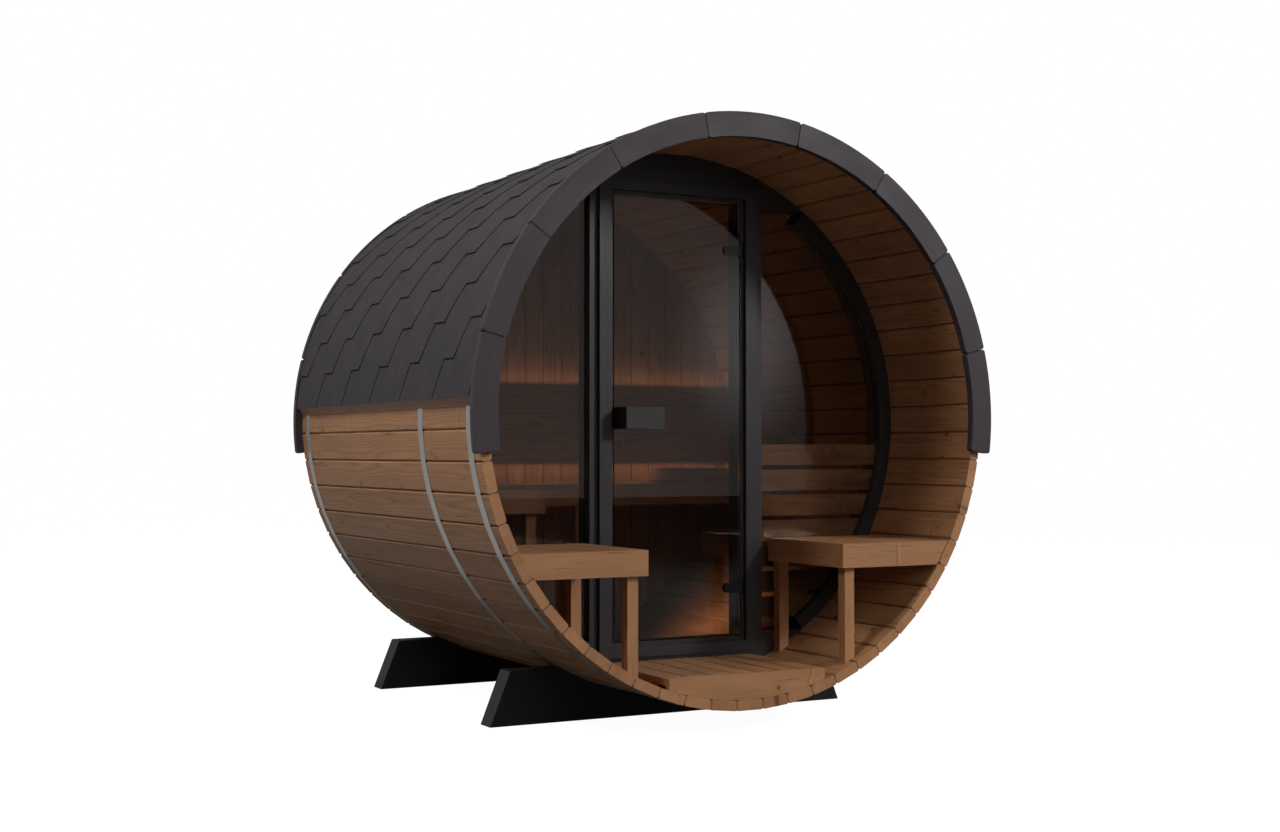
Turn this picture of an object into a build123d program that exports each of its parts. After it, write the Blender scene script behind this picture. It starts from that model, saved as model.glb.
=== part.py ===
# Barrel sauna with a front porch, a glazed front wall and benches, in millimetres
#
# The barrel's axis runs along Y, with the open porch and the glass door towards -Y.
# The origin is on the ground, under the middle of the barrel, and +Z is up.
# Sections across the barrel are drawn from its axis, x to the right and y up,
# and each is extruded rearwards from its distance behind the front rim.

import os
from math import acos, ceil, cos, degrees, radians, sin, sqrt, tan

from build123d import *

os.makedirs("parts", exist_ok=True)

# Barrel
barrel_radius = 1130.0  # from the axis to the outer flat of a stave
barrel_length = 2029.0
ground_clearance = 87.5
stave_count = 60
stave_thickness = 40.0
stave_chamfer = 7.0
tongue_height = 22.0
tongue_crown = 10.0
tongue_depth = 6.0
fit = 0.3  # clearance between pieces that touch

# Hoops
hoop_width = 48.0
hoop_thickness = 1.5
hoop_inset = 85.0  # rim to the middle of an end hoop
middle_hoop_at = 557.0

# Cradles
cradle_height = 215.5
cradle_foot = 1653.0
cradle_head = 1480.0
cradle_thickness = 95.0
cradle_hoop_gap = 8.0

# Roof
deck_thickness = 20.0
roof_end_angle = 87.0  # the lowest that a whole deck board may reach, from the top
edge_height = 35.5  # of the bevelled edge below the last deck board
covering_thickness = 5.5
covering_overhang = 0.25  # degrees that the covering laps past the last board

# Fascia blocks on both rims
fascia_count = 9
fascia_end_angle = 97.4
fascia_lap = 62.0  # inwards over the staves' ends
fascia_rise = 4.0  # beyond the roof covering
fascia_thickness = 33.0
fascia_gap = 2.0
fascia_round = 12.0

# Front wall
porch_depth = 554.0
frame_depth = 100.0
ring_width = 57.7
ring_sectors = 10
header_height = 181.7  # from the doorway to the top of the room
sill_height = 177.7  # from the bottom of the room to the doorway
window_head_rail = 15.0
window_sill_rail = 11.0
header_board = 108.0
door_half_width = 305.0
post_width = 104.0
reveal = 15.0  # of post and header that shows beside the casing
sill_reveal = 18.0
casing_width = 53.0
casing_head = 42.5
casing_sill = 42.0
casing_thickness = 19.0
window_recess = 24.0
window_glass = 6.0

# Slats behind the right-hand window
slat_width = 89.0
slat_gap = 19.2
slat_thickness = 20.0
slat_top = -108.7

# Door
leaf_gap = 6.0
leaf_inset = 1.0  # behind the front of the posts
leaf_thickness = 8.0
hinge_inset = 196.0  # from the ends of the leaf
hinge_axis_inset = 2.0  # from the post's inner edge
hinge_axis_proud = 6.0  # in front of the glass
knuckle_radius = 5.0
knuckle_length = 44.0
fixed_knuckle_length = 9.5
clamp_length = 82.0
clamp_height = 42.0
clamp_thickness = 5.5
hinge_leaf_thickness = 3.0
handle_width = 175.0
handle_height = 87.0
handle_drop = 2.0  # below the middle of the leaf
handle_depth = 109.0
handle_plate = 30.0
handle_web = 22.0
inner_handle_depth = 60.0
inner_handle_inset = 20.0

# Rear wall
rear_wall_inset = 39.0
rear_wall_thickness = 40.0
rear_board_pitch = 97.0
rear_board_chamfer = 3.0

# Benches, inside and on the porch
bench_board_thickness = 28.0
bench_board_width = 90.0
bench_board_gap = 8.0
apron_height = 96.0
leg_size = 45.0
batten_height = 45.0
porch_bench_height = 485.0  # above the duckboard
porch_bench_inner = 441.0
porch_bench_inset = 8.0
cabin_bench_height = 699.0  # above the duckboard
side_bench_inner = 555.0
side_bench_gap = 6.0
rear_bench_depth = 520.0

# Duckboard on the porch
duckboard_height = 98.7  # above the bottom of the room
duckboard_half_width = 352.0
duckboard_slats = 7
duckboard_gap = 10.0
duckboard_thickness = 28.0
bearer_inset = 22.0

# Backrest on the rear wall
backrest_standoff = 70.0
backrest_thickness = 20.0
backrest_height = 476.5  # of its top edge above the bench
backrest_wide = 89.0
backrest_narrow = 45.0
backrest_gap = 5.0
backrest_clearance = 8.0
backrest_battens = 4
backrest_batten_width = 60.0
backrest_batten_pitch = 600.0
strip_size = 8.0
strip_edge = 4.0  # between a board's edge, the strip and the battens
strip_end_gap = 24.0

# Headrest on the rear bench
headrest_left = 575.0
headrest_right = 860.0
headrest_height = 72.0
headrest_bevel = 28.0
headrest_nose = 13.0
headrest_setback = 13.0

# Values that follow from those above
axis_height = ground_clearance + barrel_radius
barrel_inner = barrel_radius - stave_thickness
pitch = 360 / stave_count
half_pitch = radians(pitch / 2)
room_radius = barrel_inner - fit  # what stands in the barrel ends here
deck_inner = barrel_radius + hoop_thickness + 2 * fit
deck_outer = deck_inner + deck_thickness
covering_inner = deck_outer / cos(half_pitch) + fit
covering_outer = covering_inner + covering_thickness
fascia_inner = barrel_radius - fascia_lap
fascia_outer = covering_outer + fascia_rise
front_cradle_at = middle_hoop_at + hoop_width / 2 + cradle_hoop_gap
rear_cradle_at = barrel_length - hoop_inset - hoop_width / 2 - cradle_hoop_gap - cradle_thickness
rear_wall_at = barrel_length - rear_wall_inset - rear_wall_thickness
rear_bench_front = rear_wall_at - rear_bench_depth
backrest_front = rear_wall_at - backrest_standoff
side_bench_front = porch_depth + frame_depth + side_bench_gap
ring_inner = room_radius - ring_width
door_top = room_radius - header_height
door_bottom = sill_height - room_radius
window_top = door_top - window_head_rail
window_bottom = door_bottom + window_sill_rail
post_outer = door_half_width + post_width
header_joint = door_top + header_board
casing_inner = door_half_width + reveal
casing_head_bottom = door_top + reveal
casing_head_top = casing_head_bottom + casing_head
casing_sill_top = door_bottom - sill_reveal
casing_sill_bottom = casing_sill_top - casing_sill
duckboard_top = duckboard_height - room_radius
porch_bench_top = duckboard_top + porch_bench_height
cabin_bench_top = duckboard_top + cabin_bench_height
backrest_top = cabin_bench_top + backrest_height
leaf_top = door_top - leaf_gap
leaf_bottom = door_bottom + leaf_gap
leaf_front = porch_depth + leaf_inset
leaf_back = leaf_front + leaf_thickness
leaf_half_width = door_half_width - leaf_gap
handle_middle = (leaf_top + leaf_bottom) / 2 - handle_drop
hinge_heights = (leaf_bottom + hinge_inset, leaf_top - hinge_inset)
hinge_x = door_half_width - hinge_axis_inset
hinge_at = leaf_front - hinge_axis_proud


def section(distance):
    """The plane across the barrel, this far behind the front rim."""
    origin = (0, distance - barrel_length / 2, axis_height)
    return Plane(origin=origin, x_dir=(1, 0, 0), z_dir=(0, -1, 0))


def level(height):
    """The level plane at a height from the barrel's axis, x right and y rearwards from the rim."""
    return Plane(origin=(0, -barrel_length / 2, axis_height + height))


def save(builder, name):
    """Label a finished piece and write it."""
    builder.part.label = name
    export_step(builder.part, f"parts/{name}.step")


def polar(radius, angle):
    """A point at this radius and this angle from the top, clockwise from the front."""
    return (radius * sin(radians(angle)), radius * cos(radians(angle)))


def reach(height):
    """How far the room reaches sideways at a height from the axis."""
    return sqrt(room_radius**2 - height**2)


def stave_half_width(radius):
    """Half of a stave's width at a distance from the axis."""
    return radius * tan(half_pitch) - fit / 2


def joint_point(along, out, side):
    """A point on the top stave, this far from the axis along the joint on one side and this far
    to the right of the joint."""
    across = side * along * sin(half_pitch) + out * cos(half_pitch)
    up = along * cos(half_pitch) - side * out * sin(half_pitch)
    return (across, up)


# Cradles that carry the barrel
stave_corner = sqrt(barrel_radius**2 + (stave_half_width(barrel_radius) - stave_chamfer) ** 2)
for name, at in (("cradle_front", front_cradle_at), ("cradle_rear", rear_cradle_at)):
    with BuildPart() as cradle:
        with BuildSketch(section(at)):
            with BuildLine():
                Polyline(
                    (-cradle_foot / 2, -axis_height),
                    (cradle_foot / 2, -axis_height),
                    (cradle_head / 2, cradle_height - axis_height),
                    (-cradle_head / 2, cradle_height - axis_height),
                    close=True,
                )
            make_face()
            Circle(stave_corner + fit, mode=Mode.SUBTRACT)
        extrude(amount=-cradle_thickness)
    save(cradle, name)

# One stave's profile at the top of the barrel, with a tapered tongue on its right and a groove
# of the same form on its left
tongue_middle = barrel_radius - stave_thickness / 2
outer_chamfer = barrel_radius - stave_chamfer
inner_chamfer = barrel_inner + stave_chamfer
tongue_side = [
    (tongue_middle - tongue_height / 2, 0),
    (tongue_middle - tongue_crown / 2, tongue_depth),
    (tongue_middle + tongue_crown / 2, tongue_depth),
    (tongue_middle + tongue_height / 2, 0),
]
tongue = [joint_point(along, out - fit / 2, 1) for along, out in tongue_side]
groove = [joint_point(along, out + fit / 2, -1) for along, out in reversed(tongue_side)]
with BuildSketch() as stave:
    with BuildLine():
        Polyline(
            (stave_half_width(barrel_inner) - stave_chamfer, barrel_inner),
            (stave_half_width(inner_chamfer), inner_chamfer),
            *tongue,
            (stave_half_width(outer_chamfer), outer_chamfer),
            (stave_half_width(barrel_radius) - stave_chamfer, barrel_radius),
            (stave_chamfer - stave_half_width(barrel_radius), barrel_radius),
            (-stave_half_width(outer_chamfer), outer_chamfer),
            *groove,
            (-stave_half_width(inner_chamfer), inner_chamfer),
            (stave_chamfer - stave_half_width(barrel_inner), barrel_inner),
            close=True,
        )
    make_face()

# Staves, in eight groups clockwise from the top
stave_groups = (
    "top",
    "upper_right",
    "side_right",
    "lower_right",
    "bottom",
    "lower_left",
    "side_left",
    "upper_left",
)
group_share = stave_count / len(stave_groups)
for index, name in enumerate(stave_groups):
    first_stave = ceil((index - 1 / 2) * group_share)
    count = ceil((index + 1 / 2) * group_share) - first_stave
    with BuildPart() as staves:
        with BuildSketch(section(0)):
            with PolarLocations(0, count, -pitch * first_stave, -pitch * count):
                add(stave.sketch)
        extrude(amount=-barrel_length)
    save(staves, f"staves_{name}")

# Steel hoops, bent to the flats of the staves
hoop_inner = barrel_radius + fit
hoops = (
    ("hoop_front", hoop_inset),
    ("hoop_middle", middle_hoop_at),
    ("hoop_rear", barrel_length - hoop_inset),
)
for name, at in hoops:
    with BuildPart() as hoop:
        with BuildSketch(section(at - hoop_width / 2)):
            flats = dict(side_count=stave_count, major_radius=False, rotation=pitch / 2)
            RegularPolygon(hoop_inner + hoop_thickness, **flats)
            RegularPolygon(hoop_inner, mode=Mode.SUBTRACT, **flats)
        extrude(amount=-hoop_width)
    save(hoop, name)

# Roof deck over the hoops, boards on the same lines as the staves
with BuildSketch() as deck_board:
    with BuildLine():
        low = stave_half_width(deck_inner)
        high = stave_half_width(deck_outer)
        Polyline((-low, deck_inner), (low, deck_inner), (high, deck_outer), (-high, deck_outer), close=True)
    make_face()
deck_boards = 2 * int(roof_end_angle / pitch - 1 / 2) + 1
deck_end = pitch * deck_boards / 2
with BuildPart() as roof_deck:
    with BuildSketch(section(fit)):
        with PolarLocations(0, deck_boards, deck_end - pitch / 2, -pitch * deck_boards):
            add(deck_board.sketch)
    extrude(amount=-(barrel_length - 2 * fit))
save(roof_deck, "roof_deck")

# Bevelled wooden edges below the deck, each on the flat of the next stave
with BuildSketch() as roof_edge:
    with BuildLine():
        Polyline((-low, deck_inner), (-high, deck_outer), (edge_height - low, deck_inner), close=True)
    make_face()
with BuildPart() as roof_edges:
    with BuildSketch(section(fit)):
        with PolarLocations(0, 1, -deck_end - pitch / 2):
            add(roof_edge.sketch)
        mirror(about=Plane.YZ)
    extrude(amount=-(barrel_length - 2 * fit))
save(roof_edges, "roof_edges")

# Shingle covering over the deck, as one skin
covering_end = deck_end + covering_overhang
with BuildPart() as roof_covering:
    with BuildSketch(section(fit)):
        with BuildLine():
            Line(polar(covering_inner, -covering_end), polar(covering_outer, -covering_end))
            ThreePointArc(
                polar(covering_outer, -covering_end),
                polar(covering_outer, 0),
                polar(covering_outer, covering_end),
            )
            Line(polar(covering_outer, covering_end), polar(covering_inner, covering_end))
            ThreePointArc(
                polar(covering_inner, covering_end),
                polar(covering_inner, 0),
                polar(covering_inner, -covering_end),
            )
        make_face()
    extrude(amount=-(barrel_length - 2 * fit))
save(roof_covering, "roof_covering")

# Fascia blocks with rounded corners on the front and rear rims
fascia_pitch = 2 * fascia_end_angle / fascia_count
with BuildSketch() as fascia_block:
    with BuildLine():
        outer_half = fascia_pitch / 2 - degrees(fascia_gap / 2 / fascia_outer)
        inner_half = fascia_pitch / 2 - degrees(fascia_gap / 2 / fascia_inner)
        Line(polar(fascia_inner, -inner_half), polar(fascia_outer, -outer_half))
        ThreePointArc(
            polar(fascia_outer, -outer_half), polar(fascia_outer, 0), polar(fascia_outer, outer_half)
        )
        Line(polar(fascia_outer, outer_half), polar(fascia_inner, inner_half))
        ThreePointArc(
            polar(fascia_inner, inner_half), polar(fascia_inner, 0), polar(fascia_inner, -inner_half)
        )
    make_face()
    fillet(fascia_block.vertices(), radius=fascia_round)
fascias = (("fascia_front", -fascia_thickness - fit), ("fascia_rear", barrel_length + fit))
for name, at in fascias:
    with BuildPart() as fascia:
        with BuildSketch(section(at)):
            start = fascia_pitch * (fascia_count - 1) / 2
            with PolarLocations(0, fascia_count, start, -fascia_pitch * fascia_count):
                add(fascia_block.sketch)
        extrude(amount=-fascia_thickness)
    save(fascia, name)

# Curved side frames of the front wall, in sectors that follow the staves
ring_start = degrees(acos(window_top / room_radius))
ring_end = 180 - degrees(acos(-window_bottom / room_radius))
ring_pitch = (ring_end - ring_start) / ring_sectors
with BuildSketch() as ring_sector:
    with BuildLine():
        outer_half = ring_pitch / 2 - degrees(fit / 2 / room_radius)
        inner_half = ring_pitch / 2 - degrees(fit / 2 / ring_inner)
        Line(polar(ring_inner, -inner_half), polar(room_radius, -outer_half))
        ThreePointArc(
            polar(room_radius, -outer_half), polar(room_radius, 0), polar(room_radius, outer_half)
        )
        Line(polar(room_radius, outer_half), polar(ring_inner, inner_half))
        ThreePointArc(
            polar(ring_inner, inner_half), polar(ring_inner, 0), polar(ring_inner, -inner_half)
        )
    make_face()
window_middle = (window_top + window_bottom) / 2
window_height = window_top - window_bottom - 2 * fit
for name, side in (("window_frame_left", 1), ("window_frame_right", -1)):
    with BuildPart() as window_frame:
        with BuildSketch(section(porch_depth)):
            start = side * (ring_start + ring_pitch / 2)
            with PolarLocations(0, ring_sectors, start, side * ring_pitch * ring_sectors):
                add(ring_sector.sketch)
            with Locations((0, window_middle)):
                Rectangle(2 * barrel_radius, window_height, mode=Mode.INTERSECT)
        extrude(amount=-frame_depth)
    save(window_frame, name)

# Header over the door and windows: two boards and a rail over each window
with BuildPart() as header_panel:
    with BuildSketch(section(porch_depth)):
        with Locations((0, (door_top + fit + header_joint) / 2)):
            Rectangle(2 * barrel_radius, header_joint - door_top - fit)
        with Locations((0, header_joint + fit + barrel_radius / 2)):
            Rectangle(2 * barrel_radius, barrel_radius)
        for side in (-1, 1):
            rail_middle = side * (post_outer + fit + barrel_radius) / 2
            with Locations((rail_middle, (window_top + door_top) / 2)):
                Rectangle(barrel_radius - post_outer - fit, door_top - window_top)
        Circle(room_radius, mode=Mode.INTERSECT)
    extrude(amount=-frame_depth)
save(header_panel, "header_panel")

# Panel under the door, with a rail under each window
with BuildPart() as sill_panel:
    with BuildSketch(section(porch_depth)):
        with Locations((0, door_bottom - fit - barrel_radius / 2)):
            Rectangle(2 * barrel_radius, barrel_radius)
        for side in (-1, 1):
            rail_middle = side * (post_outer + fit + barrel_radius) / 2
            with Locations((rail_middle, (window_bottom + door_bottom) / 2)):
                Rectangle(barrel_radius - post_outer - fit, window_bottom - door_bottom)
        Circle(room_radius, mode=Mode.INTERSECT)
    extrude(amount=-frame_depth)
save(sill_panel, "sill_panel")

# Posts on both sides of the door
for name, side in (("door_post_left", -1), ("door_post_right", 1)):
    with BuildPart() as post:
        with BuildSketch(section(porch_depth)):
            with Locations((side * (door_half_width + post_width / 2), (door_top + door_bottom) / 2)):
                Rectangle(post_width, door_top - door_bottom)
        extrude(amount=-frame_depth)
    save(post, name)

# Casing boards proud of the posts, around the door
casing_height = casing_head_top - casing_sill_bottom
casing_middle = (casing_head_top + casing_sill_bottom) / 2
with BuildPart() as door_casing:
    with BuildSketch(section(porch_depth - casing_thickness - fit)):
        for side in (-1, 1):
            with Locations((side * (casing_inner + casing_width / 2), casing_middle)):
                Rectangle(casing_width, casing_height)
        with Locations((0, (casing_head_top + casing_head_bottom) / 2)):
            Rectangle(2 * (casing_inner - fit), casing_head_top - casing_head_bottom)
        with Locations((0, (casing_sill_top + casing_sill_bottom) / 2)):
            Rectangle(2 * (casing_inner - fit), casing_sill_top - casing_sill_bottom)
    extrude(amount=-casing_thickness)
save(door_casing, "door_casing")

# Side windows
for name, side in (("side_glass_left", -1), ("side_glass_right", 1)):
    with BuildPart() as side_glass:
        with BuildSketch(section(porch_depth + window_recess)):
            with Locations((side * (post_outer + fit + barrel_radius / 2), window_middle)):
                Rectangle(barrel_radius, window_height)
            Circle(ring_inner - fit, mode=Mode.INTERSECT)
        extrude(amount=-window_glass)
    save(side_glass, name)

# Slats behind the right-hand window
slat_count = int((slat_top - window_bottom + slat_gap) / (slat_width + slat_gap))
slat_at = porch_depth + window_recess + window_glass + fit
with BuildPart() as window_slats:
    with BuildSketch(section(slat_at)):
        for index in range(slat_count):
            slat_middle = slat_top - slat_width / 2 - index * (slat_width + slat_gap)
            with Locations((post_outer + fit + barrel_radius / 2, slat_middle)):
                Rectangle(barrel_radius, slat_width)
        Circle(ring_inner - fit, mode=Mode.INTERSECT)
    extrude(amount=-slat_thickness)
save(window_slats, "window_slats")

# Rear wall of upright boards with chamfered joints
rear_boards = int(room_radius // rear_board_pitch)
with BuildPart() as rear_wall:
    with BuildSketch(Plane.XY) as board_plan:
        board_width = rear_board_pitch - fit
        for index in range(-rear_boards, rear_boards + 1):
            back = rear_wall_at + rear_wall_thickness - barrel_length / 2
            front = rear_wall_at - barrel_length / 2
            middle = index * rear_board_pitch
            half = board_width / 2
            nose = half - rear_board_chamfer
            with BuildLine():
                Polyline(
                    (middle - half, front + rear_board_chamfer),
                    (middle - nose, front),
                    (middle + nose, front),
                    (middle + half, front + rear_board_chamfer),
                    (middle + half, back - rear_board_chamfer),
                    (middle + nose, back),
                    (middle - nose, back),
                    (middle - half, back - rear_board_chamfer),
                    close=True,
                )
            make_face()
    extrude(amount=2 * axis_height)
    with BuildSketch(section(rear_wall_at)):
        Circle(room_radius)
    extrude(amount=-rear_wall_thickness, mode=Mode.INTERSECT)
save(rear_wall, "rear_wall")


def room_strip(low, high, left, right):
    """A level strip between two heights and two sides, which ends at the barrel; for a sketch."""
    with Locations(((left + right) / 2, (low + high) / 2)):
        Rectangle(right - left, high - low)
    Circle(room_radius, mode=Mode.INTERSECT)


# Porch benches: an apron on two sides, boards that run front to back, two battens and two legs
porch_bench_back = porch_depth - 2 * fit
board_pitch = bench_board_width + bench_board_gap
board_bottom = porch_bench_top - bench_board_thickness
apron_bottom = porch_bench_top - apron_height
inside_apron = porch_bench_inner + bench_board_thickness + fit
behind_apron = porch_bench_inset + bench_board_thickness + fit
porch_boards = int((reach(board_bottom) - inside_apron) // board_pitch) + 1
front_leg_at = behind_apron
rear_leg_at = porch_bench_back - leg_size
for name, side in (("left", -1), ("right", 1)):
    with BuildPart() as bench:
        with BuildSketch(section(porch_bench_inset)):
            with Locations((side * (porch_bench_inner + bench_board_thickness / 2), 0)):
                Rectangle(bench_board_thickness, 2 * barrel_radius)
            with Locations((0, porch_bench_top - apron_height / 2)):
                Rectangle(2 * barrel_radius, apron_height, mode=Mode.INTERSECT)
        extrude(amount=-(porch_bench_back - porch_bench_inset))
        with BuildSketch(section(porch_bench_inset)):
            ends = sorted((side * inside_apron, side * barrel_radius))
            room_strip(apron_bottom, porch_bench_top, *ends)
        extrude(amount=-bench_board_thickness)
        with BuildSketch(section(behind_apron)):
            for index in range(porch_boards):
                board_left = inside_apron + index * board_pitch
                with Locations((side * (board_left + bench_board_width / 2), 0)):
                    Rectangle(bench_board_width, 2 * barrel_radius)
            with Locations((0, porch_bench_top - bench_board_thickness / 2)):
                Rectangle(2 * barrel_radius, bench_board_thickness, mode=Mode.INTERSECT)
            Circle(room_radius, mode=Mode.INTERSECT)
        extrude(amount=-(porch_bench_back - behind_apron))
        batten_top = board_bottom - fit
        for at in (front_leg_at + leg_size + fit, rear_leg_at - bench_board_thickness - fit):
            with BuildSketch(section(at)):
                room_strip(batten_top - batten_height, batten_top, *ends)
            extrude(amount=-bench_board_thickness)
        for at in (front_leg_at, rear_leg_at):
            with BuildSketch(section(at)):
                ends = sorted((side * inside_apron, side * (inside_apron + leg_size)))
                room_strip(-barrel_radius, board_bottom - fit, *ends)
            extrude(amount=-leg_size)
    save(bench, f"porch_bench_{name}")

# Duckboard on the porch: slats from front to back, a shaped front bar and two bearers
slat_bottom = duckboard_top - duckboard_thickness
duck_pitch = (2 * duckboard_half_width + duckboard_gap) / duckboard_slats
with BuildPart() as duckboard:
    with BuildSketch(section(porch_bench_inset)):
        room_strip(-barrel_radius, duckboard_top, -duckboard_half_width, duckboard_half_width)
    extrude(amount=-bench_board_thickness)
    with BuildSketch(section(behind_apron)):
        with Locations((0, duckboard_top - duckboard_thickness / 2)):
            with GridLocations(duck_pitch, duckboard_thickness, duckboard_slats, 1):
                Rectangle(duck_pitch - duckboard_gap, duckboard_thickness)
    extrude(amount=-(porch_depth - fit - behind_apron))
    bearer_half = duckboard_half_width - bearer_inset
    for at in (porch_depth / 2, porch_depth - leg_size):
        with BuildSketch(section(at)):
            room_strip(-barrel_radius, slat_bottom - fit, -bearer_half, bearer_half)
        extrude(amount=-bench_board_thickness)
save(duckboard, "duckboard")

# Side bench in the cabin, with its apron, boards that run front to back and a front leg
cabin_board_bottom = cabin_bench_top - bench_board_thickness
side_inside = side_bench_inner + bench_board_thickness + fit
side_behind = side_bench_front + bench_board_thickness + fit
side_boards = int((reach(cabin_board_bottom) - side_inside) // board_pitch) + 1
side_bench_back = rear_bench_front - fit
cabin_apron_bottom = cabin_bench_top - apron_height
with BuildPart() as side_bench:
    with BuildSketch(section(side_bench_front)):
        room_strip(cabin_apron_bottom, cabin_bench_top, fit - side_inside, -side_bench_inner)
    extrude(amount=-(side_bench_back - side_bench_front))
    with BuildSketch(section(side_bench_front)):
        room_strip(cabin_apron_bottom, cabin_bench_top, -barrel_radius, -side_inside)
    extrude(amount=-bench_board_thickness)
    with BuildSketch(section(side_behind)):
        for index in range(side_boards):
            board_left = side_inside + index * board_pitch
            with Locations((-board_left - bench_board_width / 2, 0)):
                Rectangle(bench_board_width, 2 * barrel_radius)
        with Locations((0, cabin_bench_top - bench_board_thickness / 2)):
            Rectangle(2 * barrel_radius, bench_board_thickness, mode=Mode.INTERSECT)
        Circle(room_radius, mode=Mode.INTERSECT)
    extrude(amount=-(side_bench_back - side_behind))
    cabin_batten_top = cabin_board_bottom - fit
    for at in (side_behind + leg_size + fit, side_bench_back - bench_board_thickness):
        with BuildSketch(section(at)):
            low = cabin_batten_top - batten_height
            room_strip(low, cabin_batten_top, -barrel_radius, -side_inside)
        extrude(amount=-bench_board_thickness)
save(side_bench, "side_bench")

# Rear bench from side to side, with boards along it, a front apron and battens beneath
rear_behind = rear_bench_front + bench_board_thickness + fit
rear_space = rear_wall_at - fit - rear_behind
rear_bench_boards = int((rear_space + bench_board_gap) // board_pitch)
rear_pitch = (rear_space + bench_board_gap) / rear_bench_boards
with BuildPart() as rear_bench:
    with BuildSketch(section(rear_bench_front)):
        room_strip(cabin_apron_bottom, cabin_bench_top, -barrel_radius, barrel_radius)
    extrude(amount=-bench_board_thickness)
    for index in range(rear_bench_boards):
        with BuildSketch(section(rear_behind + index * rear_pitch)):
            room_strip(cabin_board_bottom, cabin_bench_top, -barrel_radius, barrel_radius)
        extrude(amount=-(rear_pitch - bench_board_gap))
    batten_depth = rear_wall_at - 2 * fit - rear_behind - leg_size
    for middle in (-1, 0, 1):
        with BuildSketch(section(rear_behind + leg_size + fit)):
            with Locations((middle * side_bench_inner, cabin_batten_top - batten_height / 2)):
                Rectangle(leg_size, batten_height)
        extrude(amount=-batten_depth)
save(rear_bench, "rear_bench")

# Legs of the benches in the cabin
with BuildPart() as cabin_legs:
    with BuildSketch(section(side_behind)):
        room_strip(-barrel_radius, cabin_batten_top, -side_inside - leg_size, -side_inside)
    extrude(amount=-leg_size)
    with BuildSketch(section(rear_behind)):
        for middle in (-1, 0):
            with Locations((middle * side_bench_inner, -barrel_radius / 2)):
                Rectangle(leg_size, barrel_radius)
        with Locations((0, cabin_batten_top - barrel_radius / 2)):
            Rectangle(2 * barrel_radius, barrel_radius, mode=Mode.INTERSECT)
        Circle(room_radius, mode=Mode.INTERSECT)
    extrude(amount=-leg_size)
save(cabin_legs, "cabin_bench_legs")

# Backrest of wide and narrow boards on four upright battens
backrest_widths = (backrest_wide, backrest_narrow, backrest_wide, backrest_narrow, backrest_wide)
backrest_span = sum(backrest_widths) + backrest_gap * (len(backrest_widths) - 1)
batten_at = backrest_front + backrest_thickness + fit
batten_inset = strip_size + 2 * strip_edge
with BuildPart() as backrest:
    with BuildSketch(section(backrest_front)):
        board_top = backrest_top
        for width in backrest_widths:
            with Locations((0, board_top - width / 2)):
                Rectangle(2 * barrel_radius, width)
            board_top -= width + backrest_gap
        Circle(room_radius - backrest_clearance, mode=Mode.INTERSECT)
    extrude(amount=-backrest_thickness)
    with BuildSketch(section(batten_at)):
        with Locations((0, backrest_top - backrest_span / 2)):
            with GridLocations(backrest_batten_pitch, backrest_span, backrest_battens, 1):
                Rectangle(backrest_batten_width, backrest_span - 2 * batten_inset)
    extrude(amount=-(rear_wall_at - fit - batten_at))
save(backrest, "backrest")

# Light strips behind the top and bottom boards of the backrest
strip_half = reach(backrest_top) - strip_end_gap
strip_middle = strip_edge + strip_size / 2
with BuildPart() as light_strips:
    with BuildSketch(section(batten_at)):
        for height in (backrest_top - strip_middle, backrest_top - backrest_span + strip_middle):
            with Locations((0, height)):
                Rectangle(2 * strip_half, strip_size)
    extrude(amount=-strip_size)
save(light_strips, "light_strips")

# Headrest on the right-hand end of the rear bench
headrest_seat = cabin_bench_top + fit
with BuildPart() as headrest:
    with BuildSketch(section(rear_bench_front + headrest_setback)):
        with BuildLine():
            Polyline(
                (headrest_left + headrest_nose, headrest_seat),
                (headrest_left, headrest_seat + headrest_nose),
                (headrest_left + headrest_bevel, headrest_seat + headrest_height),
                (headrest_right, headrest_seat + headrest_height),
                (headrest_right, headrest_seat),
                close=True,
            )
        make_face()
    extrude(amount=-(backrest_front - rear_bench_front - 2 * headrest_setback))
save(headrest, "headrest")

# Glass door leaf
with BuildPart() as door_glass:
    with BuildSketch(section(leaf_front)):
        with Locations((0, (leaf_top + leaf_bottom) / 2)):
            Rectangle(2 * leaf_half_width, leaf_top - leaf_bottom)
    extrude(amount=-leaf_thickness)
save(door_glass, "door_glass")

# Door hinges: a clamp on both faces of the glass with its knuckle, and a fixed leaf on the post
clamp_round = clamp_height / 2
clamp_left = hinge_x - clamp_length
knuckle_top = knuckle_length / 2 + fit
fixed_left = hinge_x + knuckle_radius + 2 * fit
fixed_right = casing_inner - fit
front_plate = (leaf_front - fit - clamp_thickness, hinge_x)
back_plate = (leaf_back + fit, leaf_half_width)
with BuildPart() as hinge_clamps:
    for height in hinge_heights:
        for at, right in (front_plate, back_plate):
            with BuildSketch(section(at)):
                with Locations((clamp_left + clamp_round, height)):
                    Circle(clamp_round)
                with Locations(((clamp_left + clamp_round + right) / 2, height)):
                    Rectangle(right - clamp_left - clamp_round, clamp_height)
            extrude(amount=-clamp_thickness)
        with BuildSketch(level(height - knuckle_length / 2)):
            with Locations((hinge_x, hinge_at)):
                Circle(knuckle_radius)
        extrude(amount=knuckle_length)
save(hinge_clamps, "hinge_clamps")
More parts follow.
